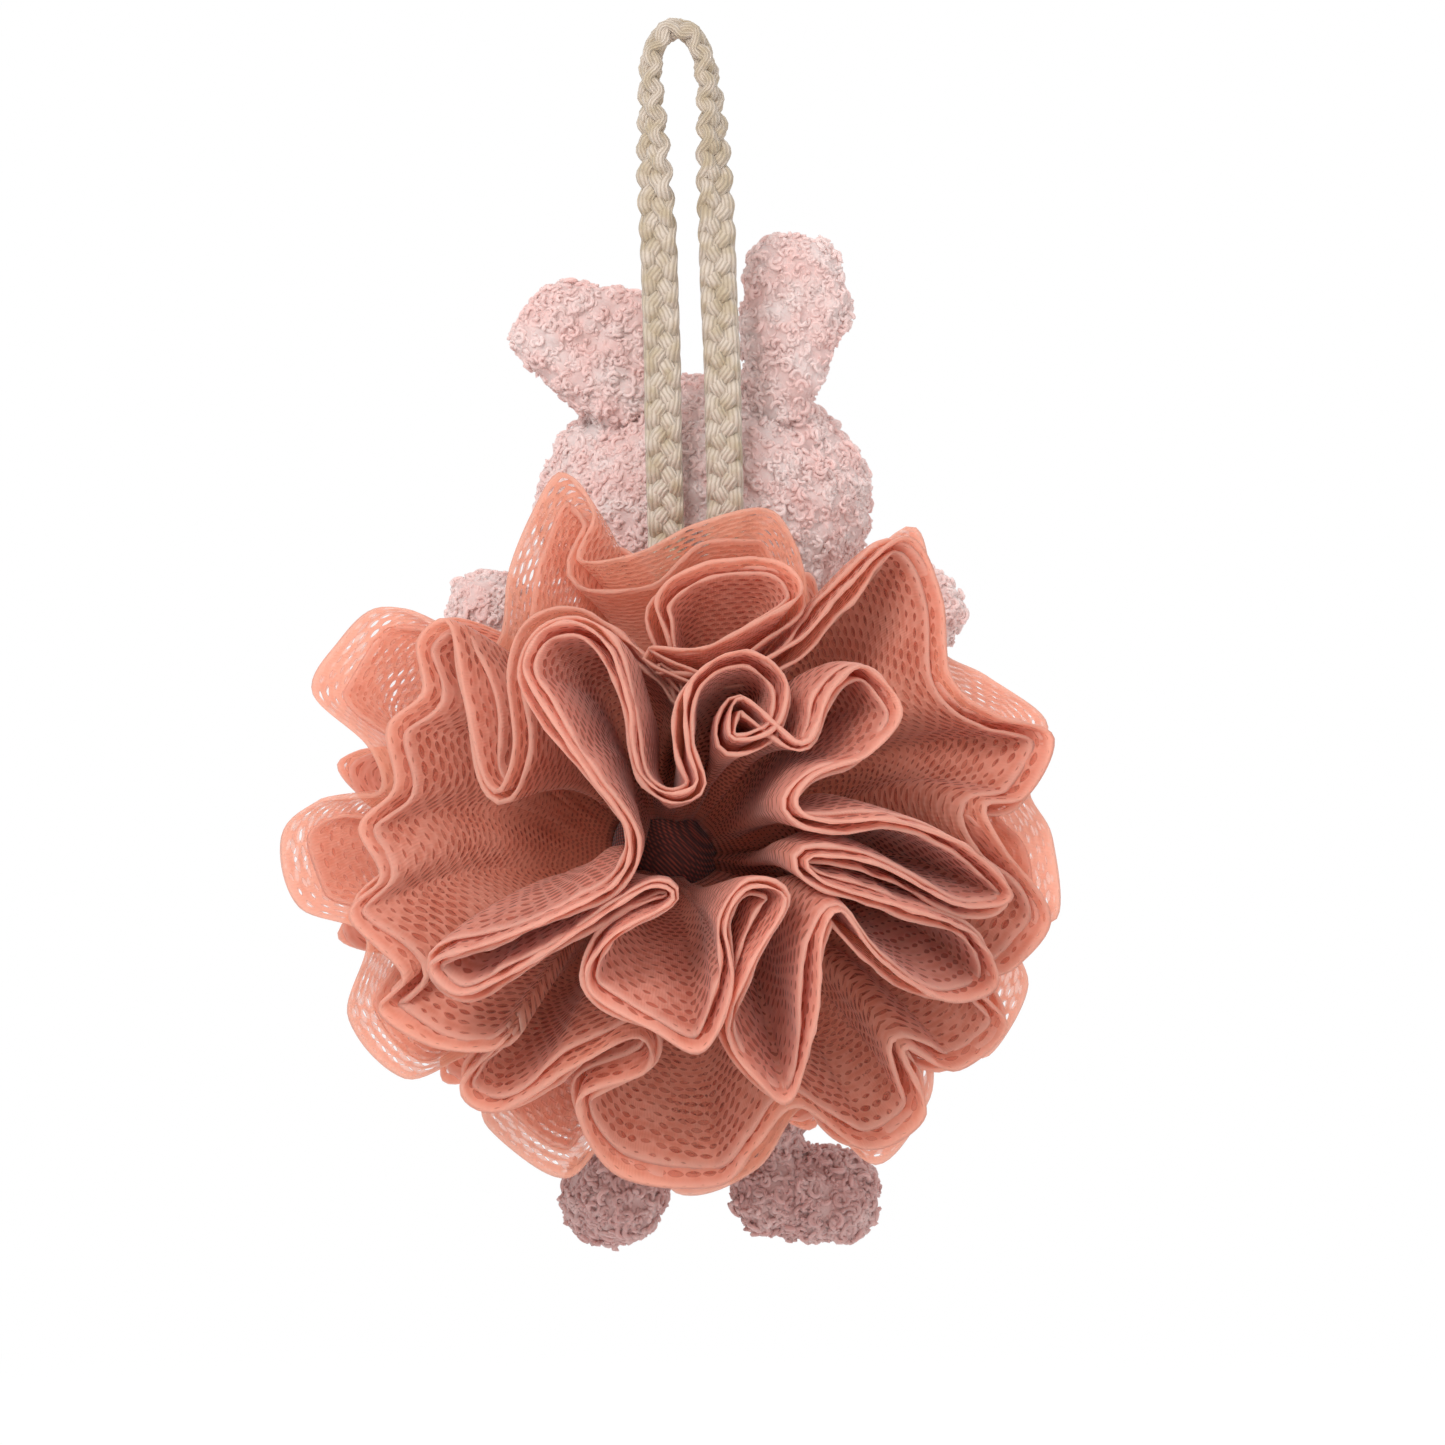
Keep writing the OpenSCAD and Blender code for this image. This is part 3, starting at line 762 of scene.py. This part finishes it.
# %% The cord's knot
knot_low, knot_high = (Vector(corner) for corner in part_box("cord_knot"))
knot_mid = (knot_low + knot_high) / 2
KNOT_POINTS = 48
KNOT_STEPS = 160
KNOT_RING = 12
KNOT_R = 2.6 * MM
KNOT_SWING = 1.2 * MM
KNOT_DEPTH = 1.9 * MM
KNOT_CORD_R = 2.2
knot_turns = []
for k in range(KNOT_POINTS):
    turn = 2 * math.pi * k / KNOT_POINTS
    loop_r = KNOT_R + KNOT_SWING * math.cos(3 * turn)
    spot = Vector((loop_r * math.cos(2 * turn), loop_r * math.sin(2 * turn), KNOT_DEPTH * math.sin(3 * turn)))
    knot_turns.append(knot_mid + spot)
knot_line, knot_length = smooth_line(knot_turns, KNOT_STEPS, closed=True)


def knot_surface(s, t):
    i = round(s * KNOT_STEPS) % KNOT_STEPS
    ahead = (knot_line[(i + 1) % KNOT_STEPS] - knot_line[i - 1]).normalized()
    side = ahead.cross(Vector((0.3, 0.2, 0.93))).normalized()
    up = side.cross(ahead)
    a = 2 * math.pi * t
    return knot_line[i] + (side * math.cos(a) + up * math.sin(a)) * KNOT_CORD_R * MM


knot = strip(KNOT_STEPS, KNOT_RING, knot_surface, "yarn", lambda s, t: (t, s * knot_length))
bmesh.ops.remove_doubles(knot, verts=knot.verts, dist=0.01 * MM)
bmesh.ops.recalc_face_normals(knot, faces=knot.faces)
end_knot = piece("end_knot", knot, cotton, "puff_and_trunk")
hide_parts("cord_knot")

# %% [markdown]
# ## Curly fleece
# The rabbit is sewn from boucle fleece, whose pile is thousands of small loops of yarn. Fleece is two
# things: a plump stuffed form, and its curls. The form is built from balls joined into smooth hulls, then
# remeshed evenly so that it can be pushed out into small lumps. Three little curls, each made by spinning
# a ring, are scattered over it many times.


# %% The fleece's finish
def fleece_finish(name, pale, mid, shade):
    fleece = Finish(name, Roughness=0.95, Sheen_Weight=0.5, Specular_IOR_Level=0.15, Sheen_Roughness=0.6)
    clump = fleece.noise(7 * MM, 3)
    fluff = fleece.noise(0.5 * MM, 5)
    cloud = fleece.noise(30 * MM, 2)
    tone = fleece.blend(clump.step(0.35, 0.68), paint(mid), paint(pale))
    tone = fleece.blend(cloud.step(0.5, 0.8) * 0.25, tone, paint(shade))
    fleece.set(Base_Color=fleece.blend(fluff.step(0.3, 0.6) * 0.3 + 0.7, paint(shade), tone))
    fleece.bump(fluff, 0.35 * MM, 0.6)
    glow = fleece.node("ShaderNodeBsdfTranslucent", {"Color": paint(pale)})
    skin = Amount(fleece, fleece.shader.outputs[0])
    return fleece.done(fleece.node("ShaderNodeMixShader", {0: 0.4, 1: skin, 2: glow}))


pink_fleece = fleece_finish("pink_fleece", "fff2ef", "ffe0db", "f7c2ba")
# Painted shade: the legs and feet get a duller, darker pink, for the shade of the puff they hang in.
shaded_leg_fleece = fleece_finish("foot_fleece", "eccac5", "dfb2ad", "c68f8a")


# %% Stuffed forms and curls
def hull_of(balls):
    """The smooth hull round a few balls, each a centre in millimetres and a radius."""
    bm = bmesh.new()
    for centre, radius in balls:
        ball = bmesh.ops.create_uvsphere(bm, u_segments=32, v_segments=20, radius=radius * MM)
        bmesh.ops.translate(bm, verts=ball["verts"], vec=at(*centre))
    if len(balls) > 1:
        wrap = bmesh.ops.convex_hull(bm, input=bm.verts)
        spare = {g for g in wrap["geom_interior"] + wrap["geom_unused"] if isinstance(g, bmesh.types.BMVert)}
        bmesh.ops.delete(bm, geom=list(spare), context="VERTS")
    return bm


def stuffed(name, hulls, finish, body, nodes, voxel=1.0, lump=1.5, soften=3):
    """A plump piece made of hulls, remeshed, softened and pushed out into the lumps of its pile."""
    joined = bmesh.new()
    for hull in hulls:
        part = bpy.data.meshes.new("part")
        hull.to_mesh(part)
        hull.free()
        joined.from_mesh(part)
        bpy.data.meshes.remove(part)
    form = piece(name, joined, finish, body)
    remesh = form.modifiers.new("even", "REMESH")
    remesh.mode = "VOXEL"
    remesh.voxel_size = voxel * MM
    graph = bpy.context.evaluated_depsgraph_get()
    even = bpy.data.meshes.new_from_object(form.evaluated_get(graph))
    form.modifiers.clear()
    bm = bmesh.new()
    bm.from_mesh(even)
    bpy.data.meshes.remove(even)
    for _ in range(soften):
        bmesh.ops.smooth_vert(
            bm, verts=bm.verts, factor=0.5, use_axis_x=True, use_axis_y=True, use_axis_z=True,
        )
    bm.normal_update()
    pushed = {}
    for vert in bm.verts:
        spot = vert.co * 1000
        near = noise.voronoi(spot / 3.4)[0]
        lumps = max(0, 1 - near[0] * 1.3)
        broad = noise.noise(spot / 9)
        pushed[vert] = vert.co + vert.normal * (lumps * lump + broad * 0.9 - 0.5) * MM
    for vert, spot in pushed.items():
        vert.co = spot
    for face in bm.faces:
        face.smooth = True
    bm.to_mesh(form.data)
    bm.free()
    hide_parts(*nodes)
    return form


CURL_SIDES = 5
CURL_STEPS = 7


def curl_shape(radius, thick, sweep, lift):
    """One loop of pile: a ring spun round most of a turn, rising as it goes."""
    bm = bmesh.new()
    bmesh.ops.create_circle(bm, cap_ends=True, segments=CURL_SIDES, radius=thick)
    bmesh.ops.rotate(bm, verts=bm.verts, matrix=Matrix.Rotation(math.radians(90), 3, "X"))
    bmesh.ops.translate(bm, verts=bm.verts, vec=(radius, 0, 0))
    bmesh.ops.spin(
        bm, geom=bm.verts[:] + bm.edges[:] + bm.faces[:], axis=(0, 0, 1), cent=(0, 0, 0),
        dvec=(0, 0, lift / CURL_STEPS), angle=math.radians(sweep), steps=CURL_STEPS, use_duplicate=False,
    )
    bmesh.ops.recalc_face_normals(bm, faces=bm.faces)
    mesh = bpy.data.meshes.new("curl")
    for face in bm.faces:
        face.smooth = True
    bm.to_mesh(mesh)
    bm.free()
    return mesh


CURLS = [
    curl_shape(0.85 * MM, 0.42 * MM, 300, 0.4 * MM),
    curl_shape(0.6 * MM, 0.4 * MM, 250, 0.7 * MM),
    curl_shape(1.05 * MM, 0.4 * MM, 200, 0.3 * MM),
]


def curls(form, spacing, seed, grow=1.0):
    """Scatters curls over a form, about one to each square of that spacing in millimetres."""
    dice = random.Random(seed)
    faces = form.data.polygons
    total = sum(face.area for face in faces)
    share = 1 / (spacing * MM) ** 2
    flock = bmesh.new()
    placed = 0
    for face in faces:
        if dice.random() > face.area * share:
            continue
        turn = face.normal.to_track_quat("Z", "Y").to_matrix().to_4x4()
        spin = Matrix.Rotation(dice.uniform(0, 6.28), 4, "Z") @ Matrix.Rotation(dice.gauss(0, 0.4), 4, "X")
        size = Matrix.Scale(grow * dice.uniform(0.7, 1.25), 4)
        curl = dice.choice(CURLS)
        seat = face.center + face.normal * dice.uniform(-0.7, 0.05) * MM
        where = Matrix.Translation(seat) @ turn @ spin @ size
        curl.transform(where)
        flock.from_mesh(curl)
        curl.transform(where.inverted())
        placed += 1
    print(form.name, "area", round(total * 1e6), "mm2, curls", placed)
    flock.from_mesh(form.data)
    flock.to_mesh(form.data)
    flock.free()


# %% [markdown]
# ## The rabbit
# The head is placed from its solid's box. The centres of the ears, trunk, arms and legs are written out
# in millimetres, to match their solids.

# %% Head
head_low, head_high = (Vector(c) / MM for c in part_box("head_cover"))
head_mid = (head_low + head_high) / 2
HEAD_HALF_WIDE = 34.2
HEAD_HALF_HIGH = 26.4
START_R = 10
skull = hull_of([((0, 0, 0), START_R)])
for vert in skull.verts:
    d = vert.co.normalized()
    vert.co = at(head_mid.x + d.x * HEAD_HALF_WIDE, head_mid.y + d.y * HEAD_HALF_HIGH,
                 head_mid.z + d.z * HEAD_HALF_HIGH)
head = stuffed("head_fleece", [skull], pink_fleece, "head", ["head_cover", "head_filling"])
PILE = 1.35
TRUNK_PILE = 1.85
FOOT_PILE = 1.4
curls(head, PILE, 1)

# %% Ears
ear_balls = {
    "ear_left": [((-11, 14, -73), 5.8), ((-27.5, 14, -58.5), 6), ((-24, 14, -53.5), 6), ((-11, 14, -55), 6),
                 ((-19, 14, -67), 6)],
    "ear_right": [((20, 14, -73), 5.8), ((19, 14, -56), 6.2), ((29, 14, -53.5), 6.2), ((20.5, 14, -44), 6),
                  ((27, 14, -44), 6)],
}
for ear, balls in ear_balls.items():
    form = stuffed(ear + "_fleece", [hull_of(balls)], pink_fleece, ear, [ear])
    curls(form, PILE, len(ear))

# %% Trunk, arms and legs
trunk = hull_of([((5.5, 32, -178), 20.6), ((5.5, 27, -131), 13.6)])
form = stuffed("trunk_fleece", [trunk], pink_fleece, "puff_and_trunk", ["torso_cover", "torso_filling"])
curls(form, TRUNK_PILE, 5)


MIDDLE_X = 5.5
SHOULDER_OUT = 17.2
SHOULDER_R = 5.4
ARM_DEEP = 26
ARM_LENGTH = 30.5
PAW_R = 8.3
rise = math.radians(25)
for name, side in (("left", -1), ("right", 1)):
    shoulder = (MIDDLE_X + side * SHOULDER_OUT, ARM_DEEP, -127)
    paw = (shoulder[0] + side * ARM_LENGTH * math.cos(rise), ARM_DEEP,
           shoulder[2] + ARM_LENGTH * math.sin(rise))
    arm = hull_of([(shoulder, SHOULDER_R), (paw, PAW_R)])
    form = stuffed(f"arm_{name}_fleece", [arm], pink_fleece, f"arm_{name}",
                   [f"arm_{name}_cover", f"arm_{name}_filling"])
    curls(form, PILE, 10 + side)

LEG_LENGTH = 35
HIP_R, ANKLE_R, HEEL_R, TOE_R = 6.4, 5.4, 8.4, 9.6
LEGS = {"left": ((-8, 31, -199), (-0.1, -0.06, -1), (-0.25, 1, -0.15), 10),
        "right": ((19, 31, -199), (0.02, -0.03, -1), (1, 0.42, -0.05), 13)}
for name, (hip, down, toe, foot) in LEGS.items():
    heel = Vector(hip) + Vector(down).normalized() * LEG_LENGTH
    tip = heel + Vector(toe).normalized() * foot
    shin = hull_of([(hip, HIP_R), (heel, ANKLE_R)])
    sole = hull_of([(heel, HEEL_R), (tip, TOE_R)])
    form = stuffed(f"leg_{name}_fleece", [shin, sole], shaded_leg_fleece, f"leg_{name}",
                   [f"leg_{name}_cover", f"leg_{name}_filling"])
    curls(form, FOOT_PILE, 20 + foot, grow=1.2)

# %% [markdown]
# ## The face
# The face isn't seen from the puff's side, so it is a plain, general one: two black bead eyes and a small
# embroidered nose.

# %% Eyes and nose
bead = Finish("black_bead", Roughness=0.08, Coat_Weight=0.6)
bead.set(Base_Color=bead.blend(bead.noise(1.5 * MM), paint("050404"), paint("120e0d")))
bead_black = bead.done()
refinish("eye_left", bead_black)
refinish("eye_right", bead_black)
refinish("eye_washers", woven_finish("white_washer", "eeeeea", "e2e2dc", 2 * MM))
refinish("nose", woven_finish("nose_stitches", "cf8088", "a85a64", 0.6 * MM))
